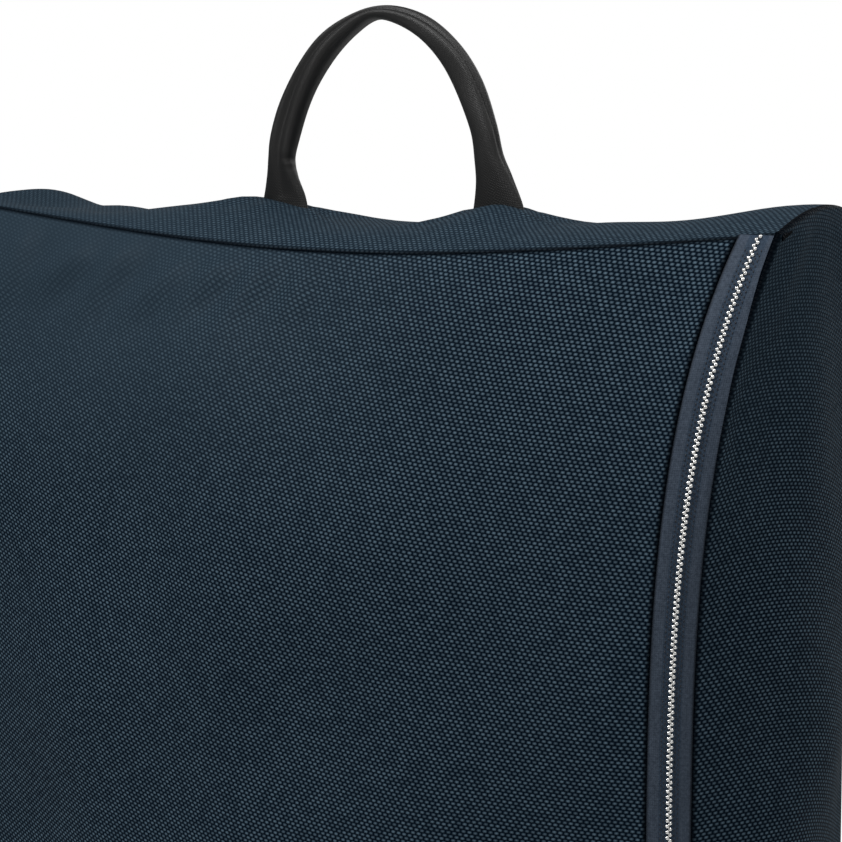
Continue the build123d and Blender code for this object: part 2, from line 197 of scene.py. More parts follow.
def shell_piece(name, points, uv, lift, outward, thick=CLOTH, seam=None, weave_and_shade_evened=0.0):
    """A closed sheet from a grid of points: lifted along the outward normal, with an inner face.
    seam, the distance to the nearest seam, which darkens the colour to painted shade in the seam groove, and
    the share after it, by which the weave's bump is lowered and its painted shade and highlight evened out,
    go into a second set of coordinates."""
    normal = normals_of(points)
    if np.sum(normal[normal.shape[0] // 2, normal.shape[1] // 2] * np.array(outward)) < 0:
        normal = -normal
    outer = points + normal * lift[..., None]
    at_seam = (lift < -ROLL * 0.9)[..., None]
    inner = np.where(at_seam, points - normal * (ROLL + thick), outer - normal * thick)
    rows, cols = points.shape[:2]
    verts = np.concatenate([outer.reshape(-1, 3), inner.reshape(-1, 3)])
    verts[:, 2] = np.maximum(verts[:, 2], 0)
    total = rows * cols
    index = np.arange(total).reshape(rows, cols)
    a, b, c, d = index[:-1, :-1], index[:-1, 1:], index[1:, 1:], index[1:, :-1]
    faces = np.stack([a, b, c, d], -1).reshape(-1, 4)
    edge = np.concatenate([index[0, :], index[1:, -1], index[-1, -2::-1], index[-2:0:-1, 0]])
    after = np.roll(edge, -1)
    rim = np.stack([edge, edge + total, after + total, after], -1)
    quads = np.concatenate([faces, faces[:, ::-1] + total, rim])
    mesh = bpy.data.meshes.new(name)
    mesh.from_pydata(verts.tolist(), [], quads.tolist())
    near = np.ones(lift.shape) if seam is None else np.broadcast_to(seam, lift.shape)
    # share by which the weave's bump is lowered and its painted shade and highlight evened out
    weave_and_shade_evening = np.broadcast_to(weave_and_shade_evened, lift.shape)
    for layer_name, plane in (("cloth", uv), ("seam", np.stack([near, weave_and_shade_evening], -1))):
        layer = mesh.uv_layers.new(name=layer_name)
        flat = np.concatenate([plane.reshape(-1, 2), plane.reshape(-1, 2)])
        layer.data.foreach_set("uv", flat[quads.reshape(-1)].reshape(-1))
    mesh.polygons.foreach_set("use_smooth", [True] * len(mesh.polygons))
    piece = bpy.data.objects.new(name, mesh)
    bpy.context.scene.collection.objects.link(piece)
    fix_normals(piece)
    return piece


def fix_normals(piece):
    work = bmesh.new()
    work.from_mesh(piece.data)
    bmesh.ops.recalc_face_normals(work, faces=work.faces)
    work.to_mesh(piece.data)
    work.free()


def crease(x, z, start, end, high, wide):
    """A soft fold from start to end, fullest near its start."""
    sx, sz = start
    ex, ez = end
    dx, dz = ex - sx, ez - sz
    length = math.hypot(dx, dz)
    along = ((x - sx) * dx + (z - sz) * dz) / length ** 2
    aside = ((x - sx) * dz - (z - sz) * dx) / length
    aside = aside + 0.0035 * np.sin(along * 3.0 + sx * 60)
    taper = np.clip((along + 0.12) / 0.25, 0, 1) * np.clip((1.1 - along) / 0.7, 0, 1)
    body = np.exp(-(aside / wide) ** 2) - 0.45 * np.exp(-((aside + wide * 1.5) / wide) ** 2)
    return high * body * taper * taper * (3 - 2 * taper)


def waves(x, z, seed):
    """Long shallow unevenness of filled cloth."""
    rng = np.random.default_rng(seed)
    total = np.zeros(np.shape(x))
    for _ in range(9):
        angle, size = rng.uniform(0, math.pi), rng.uniform(0.09, 0.26)
        phase = rng.uniform(0, 2 * math.pi)
        total += np.sin((x * math.cos(angle) + z * math.sin(angle)) * 2 * math.pi / size + phase) * size
    return total * 0.0009 / 0.17


# Folds below the top seam, as (start x, start drop, end x, end drop, height, half-width)
FRONT_FOLDS = [
    (-0.172, 0.012, -0.214, 0.054, 0.0046, 0.0092),
    (-0.134, 0.010, -0.176, 0.056, 0.0050, 0.0094),
    (-0.092, 0.007, -0.136, 0.052, 0.0058, 0.0090),
    (-0.060, 0.008, -0.104, 0.054, 0.0058, 0.0090),
    (-0.030, 0.010, -0.060, 0.046, 0.0048, 0.0084),
    (-0.005, 0.012, -0.022, 0.042, 0.0030, 0.0080),
    (-0.222, 0.010, -0.246, 0.066, 0.0036, 0.0100),
    (0.150, 0.006, 0.205, 0.040, 0.0008, 0.0090),
]
BACK_FOLDS = [
    (-0.200, 0.008, -0.255, 0.060, 0.0022, 0.0070),
    (-0.120, 0.006, -0.165, 0.050, 0.0020, 0.0070),
    (0.110, 0.006, 0.170, 0.055, 0.0022, 0.0070),
    (0.205, 0.008, 0.262, 0.060, 0.0024, 0.0065),
]
BASE_FOLDS = [
    (-0.215, 0.012, -0.262, 0.075, 0.0026, 0.0080),
    (-0.110, 0.010, -0.150, 0.060, 0.0018, 0.0090),
    (0.060, 0.010, 0.095, 0.055, 0.0016, 0.0090),
    (0.190, 0.012, 0.236, 0.070, 0.0024, 0.0080),
]
# Folds of the top gusset, as (start x, start y, end x, end y, height, half-width)
TOP_FOLDS = [
    (-0.058, -0.004, -0.010, -0.030, 0.0022, 0.0050),
    (-0.092, -0.004, -0.135, -0.036, 0.0020, 0.0060),
    (-0.076, -0.006, -0.080, -0.040, 0.0016, 0.0050),
    (0.060, -0.004, 0.022, -0.034, 0.0020, 0.0060),
    (0.094, -0.004, 0.140, -0.034, 0.0022, 0.0060),
    (-0.060, 0.004, -0.020, 0.034, 0.0020, 0.0060),
    (0.096, 0.004, 0.140, 0.034, 0.0020, 0.0060),
]


def on_grain(u, v):
    """Cloth coordinates, with the weave lying off the panel's own line."""
    c, s = math.cos(GRAIN), math.sin(GRAIN)
    return np.stack([u * c - v * s, u * s + v * c], -1)


def wall_lift(side, points, top, base_z):
    x, z = points[..., 0], points[..., 2]
    drop = top[None, :] - z
    rise = z - base_z
    long_wall = side in (FRONT, BACK)
    lift = waves(x if long_wall else points[..., 1] * 1.7, z, 11 + side)
    settle = np.clip(drop / 0.05, 0, 1) * np.clip(rise / 0.05, 0, 1)
    lift = lift * settle
    if long_wall:
        for sx, sd, ex, ed, high, wide in (FRONT_FOLDS if side == FRONT else BACK_FOLDS):
            lift = lift + crease(x, -drop, (sx, -sd), (ex, -ed), high, wide)
        for sx, sr, ex, er, high, wide in BASE_FOLDS:
            lift = lift + crease(x, rise, (sx, sr), (ex, er), high, wide)
    else:
        y = points[..., 1]
        lift = lift + crease(y, -drop, (-0.020, -0.006), (-0.062, -0.075), 0.0016, 0.009)
        lift = lift + crease(y, -drop, (0.012, -0.008), (0.040, -0.060), 0.0014, 0.008)
        lift = lift + crease(y, rise, (-0.030, 0.010), (-0.070, 0.060), 0.0020, 0.008)
    return lift


def wall_panel(name, side, outward):
    base_z = 0.0012
    mid = HEIGHT / 2
    ax, ay = corner(side, mid)
    bx, by = corner(side + 1, mid)
    span = math.hypot(bx - ax, by - ay) * 1.02
    across = stops(span)
    top = seam_height(side, across)
    rows = stops(HEIGHT - base_z)
    z = base_z + rows[:, None] * (top[None, :] - base_z)
    x, y = wall_xy(side, np.broadcast_to(across[None, :], z.shape), z)
    points = np.stack([x, y, z], -1)
    length = (top[None, :] - base_z) * (1 - rows[:, None])
    uv = on_grain(np.broadcast_to(((across - 0.5) * span)[None, :], z.shape), -length)
    edge_side = np.minimum(across, 1 - across)[None, :] * span
    edge_end = np.minimum(rows, 1 - rows)[:, None] * HEIGHT
    lift = wall_lift(side, points, top, base_z)
    near = np.minimum(edge_side, edge_end)
    lift = lift * np.clip((near - ROLL) / 0.012, 0, 1) - turned(np.broadcast_to(near, z.shape))
    # share by which the weave's bump is lowered and its painted shade and highlight evened out, most near
    # the top seam and, on the front, towards the left
    weave_and_shade_evened = ease((0.19 - (top[None, :] - z)) / 0.19) * (ease((0.16 - x) / 0.32) if side == FRONT else 0.5)
    return shell_piece(name, points, uv, lift, outward, seam=near, weave_and_shade_evened=weave_and_shade_evened)


def outline_front(u):
    """Front edge of the top gusset, left to right, across the panel and the zip strip."""
    share = 1 - STRIP / WIDTH
    across = np.clip(u / share, 0, 1)
    x, y = wall_xy(0, across, seam_height(0, across))
    past = np.clip((u - share) / (1 - share), 0, 1)
    top = HEIGHT
    ax, ay = corner(1, top)
    bx, by = corner(2, top)
    return np.where(u > share, ax + (bx - ax) * past, x), np.where(u > share, ay + (by - ay) * past, y)


def top_lift(x, y):
    """Height of the top gusset's cloth over its plain crowned form."""
    inside = np.cos(np.pi * np.clip(y / DEPTH, -0.5, 0.5)) ** 1.3
    lift = ridge_lift(x) + waves(x, y * 1.5, 31) * 0.3
    for sx, sy, ex, ey, high, wide in TOP_FOLDS:
        lift = lift + crease(x, y, (sx, sy), (ex, ey), high, wide)
    over_back = np.where(y < 0, inside, 1 - 0.3 * ease(2 * y / DEPTH))
    return lift * inside - left_hollow(x) * over_back


def top_panel():
    u, w = stops(WIDTH), stops(DEPTH, CELL * 0.8)
    fx, fy = outline_front(u)
    bx, by = wall_xy(BACK, 1 - u, seam_height(BACK, 1 - u))
    x = fx[None, :] + (bx - fx)[None, :] * w[:, None]
    y = fy[None, :] + (by - fy)[None, :] * w[:, None]
    points = np.stack([x, y, top_z(x, y) + top_lift(x, y)], -1)
    uv = np.stack([x, y], -1)
    near = np.minimum(np.minimum(u, 1 - u)[None, :] * WIDTH, np.minimum(w, 1 - w)[:, None] * DEPTH)
    # share by which the weave's bump is lowered and its painted shade and highlight evened out, more towards
    # the left
    weave_and_shade_evened = 0.45 + 0.3 * ease(-x / 0.2)
    return shell_piece("top_gusset_cloth", points, uv, -turned(near), (0, 0, 1), seam=near, weave_and_shade_evened=weave_and_shade_evened)


def base_panel():
    u, w = stops(WIDTH, 0.02), stops(DEPTH, 0.02)
    x = np.broadcast_to(((u - 0.5) * WIDTH)[None, :], (len(w), len(u)))
    y = np.broadcast_to(((w - 0.5) * DEPTH)[:, None], x.shape)
    points = np.stack([x, y, np.zeros(x.shape)], -1)
    uv = np.stack([x, y], -1)
    near = np.minimum(np.minimum(u, 1 - u)[None, :] * WIDTH, np.minimum(w, 1 - w)[:, None] * DEPTH)
    return shell_piece("base_cloth", points, uv, -turned(near), (0, 0, -1), seam=near)


# ---- zip ----
SLIDER_HALF = size_of("slider_body")[0] / 2 / math.cos(STRIP_TURN)


def strip_line(offset, depth, z):
    """Points of the zip strip: offset from its middle line, depth inside it."""
    ax, ay = corner(1, z)
    bx, by = corner(2, z)
    dx, dy = (bx - ax) / STRIP, (by - ay) / STRIP
    return (ax + bx) / 2 + dx * offset - dy * depth, (ay + by) / 2 + dy * offset + dx * depth


def strip_top():
    ax, ay = corner(1, HEIGHT)
    return top_z(ax + STRIP / 2, ay)


def zip_tape(name, side):
    """One half of the zip tape, from the teeth to the seam, a little crowned."""
    inner_edge, outer_edge = 0.0006, STRIP / 2
    across = np.array([0, 0.05, 0.12, 0.22, 0.35, 0.5, 0.65, 0.78, 0.88, 0.94, 0.98, 1.0])
    offset = inner_edge + across * (outer_edge - inner_edge)
    z = np.linspace(0.0012, strip_top(), 190)[:, None] * np.ones(len(across))[None, :]
    ripple = 0.00018 * np.sin(z * 170 + side) + 0.00025 * np.sin(z * 61 + 2 * side)
    clear = np.clip((offset - SLIDER_HALF) / 0.001, 0, 1)
    depth = 0.0009 + 0.0009 * across[None, :] ** 4 + ripple * (clear * np.sin(np.pi * across))[None, :]
    x, y = strip_line(side * offset[None, :] * np.ones(z.shape), depth, z)
    points = np.stack([x, y, z], -1)
    uv = np.stack([np.broadcast_to(offset[None, :], z.shape), z], -1)
    turn = STRIP_TURN
    return shell_piece(name, points, uv, np.zeros(z.shape), (math.sin(turn), -math.cos(turn), 0), 0.0006)


def bead_mesh(length, width, height):
    """One rounded tooth: long across the zip, round on top."""
    work = bmesh.new()
    bmesh.ops.create_uvsphere(work, u_segments=8, v_segments=6, radius=0.5)
    for v in work.verts:
        v.co = Vector((v.co.x * length, v.co.y * width, v.co.z * height))
    verts = [v.co.copy() for v in work.verts]
    faces = [[v.index for v in f.verts] for f in work.faces]
    work.free()
    return verts, faces


def zip_teeth(name, side):
    """A row of single teeth set into the tape edge; the two rows meet in the middle."""
    count = round((ZIP_TOP - ZIP_BOTTOM) / 0.0031)
    pitch = (ZIP_TOP - ZIP_BOTTOM) / count
    verts, faces = bead_mesh(0.0026, 0.0023, 0.0021)
    all_verts, all_faces = [], []
    for k in range(count):
        z = ZIP_BOTTOM + (k + 0.5 + 0.25 * side) * pitch
        middle = np.array(strip_line(side * 0.00074, 0.0007, np.array(z)))
        ahead = np.array(strip_line(side * 0.00174, 0.0007, np.array(z)))
        u = (ahead - middle) / np.linalg.norm(ahead - middle) * side
        out = np.array([u[1], -u[0]])
        start = len(all_verts)
        for v in verts:
            place = middle + u * v.x + out * v.z
            all_verts.append((place[0], place[1], z + v.y))
        all_faces += [[start + i for i in f] for f in faces]
    mesh = bpy.data.meshes.new(name)
    mesh.from_pydata(all_verts, [], all_faces)
    mesh.polygons.foreach_set("use_smooth", [True] * len(mesh.polygons))
    piece = bpy.data.objects.new(name, mesh)
    bpy.context.scene.collection.objects.link(piece)
    return piece


def zip_stitches():
    """Two lines of thread on each half of the tape."""
    pitch, length, wide = 0.0026, 0.0019, 0.00044
    ring = [(math.cos(t), math.sin(t)) for t in np.linspace(0, 2 * math.pi, 6, endpoint=False)]
    stations = [(-0.5, 0.25, -0.5), (-0.3, 0.9, 0.1), (0.0, 1.0, 0.3), (0.3, 0.9, 0.1), (0.5, 0.25, -0.5)]
    verts, faces = [], []
    low, high = 0.012, strip_top() - 0.006
    for side in (-1, 1):
        for line, shift in ((0.0029, 0.0), (0.0046, 0.5)):
            for k in range(int((high - low) / pitch)):
                z = low + (k + shift) * pitch
                start = len(verts)
                for along, full, raised in stations:
                    for cx, cn in ring:
                        offset = side * line + cx * wide * full
                        x, y = strip_line(offset, 0.0011 - (cn * full + raised) * wide, np.array(z))
                        verts.append((float(x), float(y), z + along * length))
                for s in range(len(stations) - 1):
                    for r in range(6):
                        a, b = start + s * 6 + r, start + s * 6 + (r + 1) % 6
                        faces.append((a, b, b + 6, a + 6))
                faces.append(tuple(start + r for r in range(6)))
                faces.append(tuple(start + (len(stations) - 1) * 6 + r for r in range(5, -1, -1)))
    mesh = bpy.data.meshes.new("zip_stitches")
    mesh.from_pydata(verts, [], faces)
    mesh.polygons.foreach_set("use_smooth", [True] * len(mesh.polygons))
    piece = bpy.data.objects.new("zip_stitches", mesh)
    bpy.context.scene.collection.objects.link(piece)
    fix_normals(piece)
    return piece


# ---- handle ----
# Middle line of the webbing as (x, height above the ridge), left foot to right foot,
# with its width in the loop's plane and its thickness front to back
HANDLE_LINE = [
    (-0.0750, -0.004, 0.0350, 0.0040), (-0.0752, 0.004, 0.0310, 0.0046), (-0.0765, 0.016, 0.0225, 0.0080),
    (-0.0768, 0.028, 0.0178, 0.0110), (-0.0745, 0.040, 0.0178, 0.0120), (-0.0675, 0.059, 0.0172, 0.0125),
    (-0.0570, 0.077, 0.0166, 0.0130), (-0.0430, 0.0935, 0.0140, 0.0140), (-0.0270, 0.1050, 0.0110, 0.0140),
    (-0.0100, 0.1122, 0.0078, 0.0140), (0.0075, 0.1112, 0.0096, 0.0140), (0.0265, 0.1035, 0.0122, 0.0135),
    (0.0430, 0.0895, 0.0152, 0.0125), (0.0555, 0.0715, 0.0160, 0.0120), (0.0650, 0.0490, 0.0162, 0.0115),
    (0.0690, 0.0310, 0.0178, 0.0105), (0.0725, 0.0180, 0.0240, 0.0080), (0.0750, 0.0040, 0.0335, 0.0048),
    (0.0755, -0.004, 0.0365, 0.0040),
]


def smooth_line(points, steps):
    """Catmull-Rom curve through the points."""
    p = np.array([points[0]] + points + [points[-1]], float)
    out = []
    for i in range(1, len(p) - 2):
        for t in np.linspace(0, 1, steps, endpoint=False):
            a, b, c, d = p[i - 1], p[i], p[i + 1], p[i + 2]
            out.append(0.5 * (2 * b + (c - a) * t + (2 * a - 5 * b + 4 * c - d) * t ** 2
                              + (3 * b - a - 3 * c + d) * t ** 3))
    out.append(p[-2])
    return np.array(out)


def handle_piece():
    """Folded webbing: flat at the feet, folded lengthwise over the grip, its open edge
    turning from the inside of the left leg to the outside of the right one."""
    line = smooth_line(HANDLE_LINE, 10)
    ridge = top_z(HANDLE_SPAN / 2, 0)
    around = 72
    theta = np.linspace(0, 2 * math.pi, around, endpoint=False)
    tangent = np.gradient(line[:, :2], axis=0)
    tangent /= np.linalg.norm(tangent, axis=1, keepdims=True)
    share = np.linspace(0, 1, len(line))
    run = np.concatenate([[0], np.cumsum(np.linalg.norm(np.diff(line[:, :2], axis=0), axis=1))])
    verts, uvs = [], []
    for k, (x, z, wide, thick) in enumerate(line):
        tx, tz = tangent[k]
        ox, oz = -tz, tx                      # outwards from the loop
        s = share[k]
        gap_at = 102 - 100 * (3 * s ** 2 - 2 * s ** 3)   # where the folded edges meet, in degrees
        taper = math.sin(math.pi * min(1, max(0, (s - 0.06) / 0.88))) ** 0.5
        gap = (0.0022 * (1 - s) ** 1.5 + 0.0009) * taper
        open_wide = 20 - 11 * s
        for t in theta:
            c, sn = math.cos(t), math.sin(t)
            power = 0.8
            across = math.copysign(abs(c) ** power, c) * wide / 2
            depth = math.copysign(abs(sn) ** power, sn) * thick / 2
            away = (math.degrees(t) - gap_at + 180) % 360 - 180
            fold = -gap * math.exp(-(away / open_wide) ** 2)
            fold += 0.3 * gap * math.exp(-((abs(away) - 2.4 * open_wide) / (1.2 * open_wide)) ** 2)
            pinch = 0.0007 * bell(s, 0.17, 0.012) + 0.0004 * bell(s, 0.14, 0.008)
            slack = 0.00022 * math.sin(run[k] * 120 + 2 * t) - pinch * bell(away, 55, 40)
            size = max(math.hypot(across, depth), 1e-6)
            grow = 1 + (fold + slack) / size
            px, py = across * grow, -depth * grow
            verts.append((x + ox * px, py, ridge + z + oz * px))
            uvs.append((t / (2 * math.pi) * 0.05, run[k]))
    rows = len(line)
    faces = []
    for k in range(rows - 1):
        for r in range(around):
            a, b = k * around + r, k * around + (r + 1) % around
            faces.append((a, b, b + around, a + around))
    faces.append(tuple(range(around - 1, -1, -1)))
    faces.append(tuple((rows - 1) * around + r for r in range(around)))
    mesh = bpy.data.meshes.new("handle_webbing")
    mesh.from_pydata(verts, [], faces)
    layer = mesh.uv_layers.new(name="cloth")
    for poly in mesh.polygons:
        places = {i % around for i in poly.vertices}
        turn_over = 0 in places and around - 1 in places
        for loop in poly.loop_indices:
            i = mesh.loops[loop].vertex_index
            u, v = uvs[i]
            layer.data[loop].uv = (0.05 if turn_over and i % around == 0 else u, v)
    mesh.polygons.foreach_set("use_smooth", [True] * len(mesh.polygons))
    piece = bpy.data.objects.new("handle_webbing", mesh)
    bpy.context.scene.collection.objects.link(piece)
    fix_normals(piece)
    return piece


def finished_copy(node, width, segments=2):
    """A hard part's own mesh with its edges eased."""
    source = frame["nodes"][node]
    piece = bpy.data.objects.new(node + "_finished", source.data.copy())
    bpy.context.scene.collection.objects.link(piece)
    work = bmesh.new()
    work.from_mesh(piece.data)
    bmesh.ops.remove_doubles(work, verts=work.verts, dist=1e-6)
    bmesh.ops.dissolve_limit(work, angle_limit=math.radians(2), verts=work.verts, edges=work.edges)
    sharp = [e for e in work.edges if e.is_manifold and e.calc_face_angle(0) > math.radians(35)]
    bmesh.ops.bevel(work, geom=sharp, offset=width, segments=segments, profile=0.6, affect="EDGES",
                    clamp_overlap=True)
    work.to_mesh(piece.data)
    work.free()
    piece.data.polygons.foreach_set("use_smooth", [True] * len(piece.data.polygons))
    return piece


def hung_copy(node, from_z, cuts=0, slices=0):
    """A part sewn under the top gusset: above from_z it follows the cloth up and down.
    A small part is cut into a grid first, and a long one into slices along the bag."""
    source = frame["nodes"][node]
    piece = bpy.data.objects.new(node + "_sewn", source.data.copy())
    bpy.context.scene.collection.objects.link(piece)
    work = bmesh.new()
    work.from_mesh(piece.data)
    bmesh.ops.remove_doubles(work, verts=work.verts, dist=1e-6)
    bmesh.ops.dissolve_limit(work, angle_limit=math.radians(3), verts=work.verts, edges=work.edges)
    if cuts:
        bmesh.ops.subdivide_edges(work, edges=work.edges, cuts=cuts, use_grid_fill=True)
    for x in np.linspace(-WIDTH / 2, WIDTH / 2, slices + 2)[1:-1] if slices else ():
        every = work.verts[:] + work.edges[:] + work.faces[:]
        bmesh.ops.bisect_plane(work, geom=every, plane_co=(x, 0, 0), plane_no=(1, 0, 0))
    for v in work.verts:
        if v.co.z > from_z:
            share = min(1.0, (v.co.z - from_z) / 0.01) if not cuts else 1.0
            v.co.z += share * (float(top_lift(np.array(v.co.x), np.array(v.co.y))) - 0.0006)
    work.to_mesh(piece.data)
    work.free()
    return piece


# ---- materials ----
class Nodes:
    """Short hand for one material's node tree."""

    def __init__(self, name):
        self.material = bpy.data.materials.new(name)
        self.material.use_nodes = True
        self.tree = self.material.node_tree
        self.shader = self.tree.nodes["Principled BSDF"]

    def link(self, a, b):
        self.tree.links.new(a, b)

    def math(self, kind, a, b=None, clamp=False):
        node = self.tree.nodes.new("ShaderNodeMath")
        node.operation = kind
        node.use_clamp = clamp
        for socket, value in zip(node.inputs, (a, b)):
            if value is None:
                continue
            if hasattr(value, "links"):
                self.link(value, socket)
            else:
                socket.default_value = value
        return node.outputs[0]

    def uv(self):
        node = self.tree.nodes.new("ShaderNodeUVMap")
        node.uv_map = "cloth"
        split = self.tree.nodes.new("ShaderNodeSeparateXYZ")
        self.link(node.outputs[0], split.inputs[0])
        return split.outputs[0], split.outputs[1]

    def noise(self, scale, detail=2.0, stretch=(1, 1, 1)):
        place = self.tree.nodes.new("ShaderNodeTexCoord")
        shape = self.tree.nodes.new("ShaderNodeMapping")
        shape.inputs["Scale"].default_value = stretch
        node = self.tree.nodes.new("ShaderNodeTexNoise")
        node.inputs["Scale"].default_value = scale
        node.inputs["Detail"].default_value = detail
        self.link(place.outputs["Object"], shape.inputs["Vector"])
        self.link(shape.outputs["Vector"], node.inputs["Vector"])
        return node.outputs["Fac"]

    def mix(self, factor, a, b):
        node = self.tree.nodes.new("ShaderNodeMix")
        node.data_type = "RGBA"
        for socket, value in ((node.inputs["Factor"], factor), (node.inputs[6], a), (node.inputs[7], b)):
            if hasattr(value, "links"):
                self.link(value, socket)
            else:
                socket.default_value = value
        return node.outputs[2]

    def bump(self, height, distance, strength=1.0):
        node = self.tree.nodes.new("ShaderNodeBump")
        node.inputs["Distance"].default_value = distance
        node.inputs["Strength"].default_value = strength
        self.link(height, node.inputs["Height"])
        self.link(node.outputs["Normal"], self.shader.inputs["Normal"])

    def finish(self, roughness=None, metallic=0.0, sheen=0.0, specular=0.5):
        if roughness is not None:
            self.shader.inputs["Roughness"].default_value = roughness
        self.shader.inputs["Metallic"].default_value = metallic
        self.shader.inputs["Sheen Weight"].default_value = sheen
        self.shader.inputs["Sheen Roughness"].default_value = 0.4
        self.shader.inputs["Specular IOR Level"].default_value = specular
        return self.material


def seam_facts(m, reach):
    """How near the seam is, 0 in it and 1 at reach from it, for the painted shade in the seam groove, and
    how far the weave's bump is lowered and its painted shade and highlight evened out.
    """
    place = m.tree.nodes.new("ShaderNodeUVMap")
    place.uv_map = "seam"
    split = m.tree.nodes.new("ShaderNodeSeparateXYZ")
    m.link(place.outputs[0], split.inputs[0])
    return m.math("POWER", m.math("DIVIDE", split.outputs[0], reach, clamp=True), 1.5), split.outputs[1]


WEAVE_MEAN = 0.25        # average tone of the weave, between the painted shade of its gaps and the painted highlight on its floats


def woven(name, pitch_u, pitch_v, dark, light, roughness, distance, specular=0.02, patch=0.25, sharp=2.8,
          seam=True):
    """Staggered rows of rounded thread floats, as in heavy nylon, coloured with painted shade in the gaps
    and painted highlight on the float tops.
    """
    m = Nodes(name)
    u, v = m.uv()
    row_at = m.math("DIVIDE", v, pitch_v)
    row = m.math("FLOOR", row_at)
    odd = m.math("SUBTRACT", row, m.math("MULTIPLY", m.math("FLOOR", m.math("MULTIPLY", row, 0.5)), 2.0))
    col_at = m.math("ADD", m.math("DIVIDE", u, pitch_u), m.math("MULTIPLY", odd, 0.5))
    across = m.math("ABSOLUTE", m.math("SUBTRACT", m.math("FRACT", col_at), 0.5))
    along = m.math("ABSOLUTE", m.math("SUBTRACT", m.math("FRACT", row_at), 0.5))
    dome_u = m.math("SUBTRACT", 1.0, m.math("POWER", m.math("MULTIPLY", across, 2.0), 2.2))
    dome_v = m.math("SUBTRACT", 1.0, m.math("POWER", m.math("MULTIPLY", along, 2.0), 2.6))
    dome = m.math("MULTIPLY", dome_u, dome_v)
    cell = m.tree.nodes.new("ShaderNodeCombineXYZ")
    m.link(m.math("FLOOR", col_at), cell.inputs[0])
    m.link(row, cell.inputs[1])
    white = m.tree.nodes.new("ShaderNodeTexWhiteNoise")
    white.noise_dimensions = "2D"
    m.link(cell.outputs[0], white.inputs["Vector"])
    each = m.math("ADD", m.math("MULTIPLY", white.outputs["Value"], 0.5), 0.65)
    cloud = m.math("ADD", m.math("MULTIPLY", m.noise(14.0), patch), 1 - patch / 2)
    # tone: painted shade in the gaps between the floats and painted highlight on their tops, varied at
    # random per float and in patches
    tone = m.math("MULTIPLY", m.math("MULTIPLY", m.math("POWER", dome, sharp), each), cloud, clamp=True)
    fibres = m.math("MULTIPLY", m.noise(2600.0, 1.0), 0.10)
    height = m.math("ADD", dome, fibres)
    if seam:
        near, weave_and_shade_evened = seam_facts(m, 0.0026)
        # where marked, the weave's bump is lowered and its painted shade and highlight evened out towards
        # the mean
        keep = m.math("SUBTRACT", 1.0, m.math("MULTIPLY", weave_and_shade_evened, 0.88))
        even = m.math("MULTIPLY", m.math("SUBTRACT", 1.0, keep), WEAVE_MEAN)
        tone = m.math("ADD", m.math("MULTIPLY", tone, keep), even)
        height = m.math("MULTIPLY", height, keep)
        # near the seam the colour darkens to painted shade in the seam groove
        colour = m.mix(near, (dark[0] * 0.3, dark[1] * 0.3, dark[2] * 0.3, 1), m.mix(tone, dark, light))
    else:
        colour = m.mix(tone, dark, light)
    m.link(colour, m.shader.inputs["Base Color"])
    m.bump(height, distance)
    return m.finish(roughness, specular=specular)


def tape_material():
    """Smooth woven zip tape with a darker corded band beside the teeth and painted shade along its outer
    edge, in the seam.
    """
    m = Nodes("zip_tape_weave")
    u, v = m.uv()
    ribs = m.math("SINE", m.math("MULTIPLY", u, 2 * math.pi / 0.0011))
    picks = m.math("SINE", m.math("MULTIPLY", v, 2 * math.pi / 0.0009))
    grain = m.math("ADD", m.math("MULTIPLY", ribs, 0.25), m.math("MULTIPLY", picks, 0.25))
    rough_cloth = m.math("ADD", m.math("MULTIPLY", m.noise(900.0, 3.0), 1.0), grain)
    band = m.math("DIVIDE", m.math("SUBTRACT", 0.0062, u), 0.0012, clamp=True)
    tone = m.math("ADD", m.math("MULTIPLY", m.noise(700.0, 2.0), 0.9), m.math("MULTIPLY", grain, 0.15))
    plain = m.mix(tone, (0.014, 0.022, 0.036, 1), (0.078, 0.102, 0.140, 1))
    corded = m.mix(tone, (0.006, 0.013, 0.026, 1), (0.052, 0.080, 0.120, 1))
    # edge: painted shade in the seam along the tape's outer edge, near black over its last 1.8 mm
    edge = m.math("DIVIDE", m.math("SUBTRACT", STRIP / 2, u), 0.0018, clamp=True)
    m.link(m.mix(edge, (0.001, 0.002, 0.004, 1), m.mix(band, plain, corded)), m.shader.inputs["Base Color"])
    m.bump(rough_cloth, 0.00012, 0.8)
    return m.finish(0.72, sheen=0.0, specular=0.15)


def grained(name, dark, light, scale, roughness, distance, stretch=(1, 1, 1), metallic=0.0, sheen=0.0,
            specular=0.5):
    """A material whose colour and surface vary with one grain."""
    m = Nodes(name)
    grain = m.noise(scale, 3.0, stretch)
    slow = m.noise(scale * 0.07, 2.0)
    tone = m.math("MULTIPLY", m.math("ADD", grain, slow), 0.5)
    m.link(m.mix(tone, dark, light), m.shader.inputs["Base Color"])
    m.bump(grain, distance, 0.6)
    return m.finish(roughness, metallic=metallic, sheen=sheen, specular=specular)


def dress(piece, material):
    piece.data.materials.clear()
    piece.data.materials.append(material)


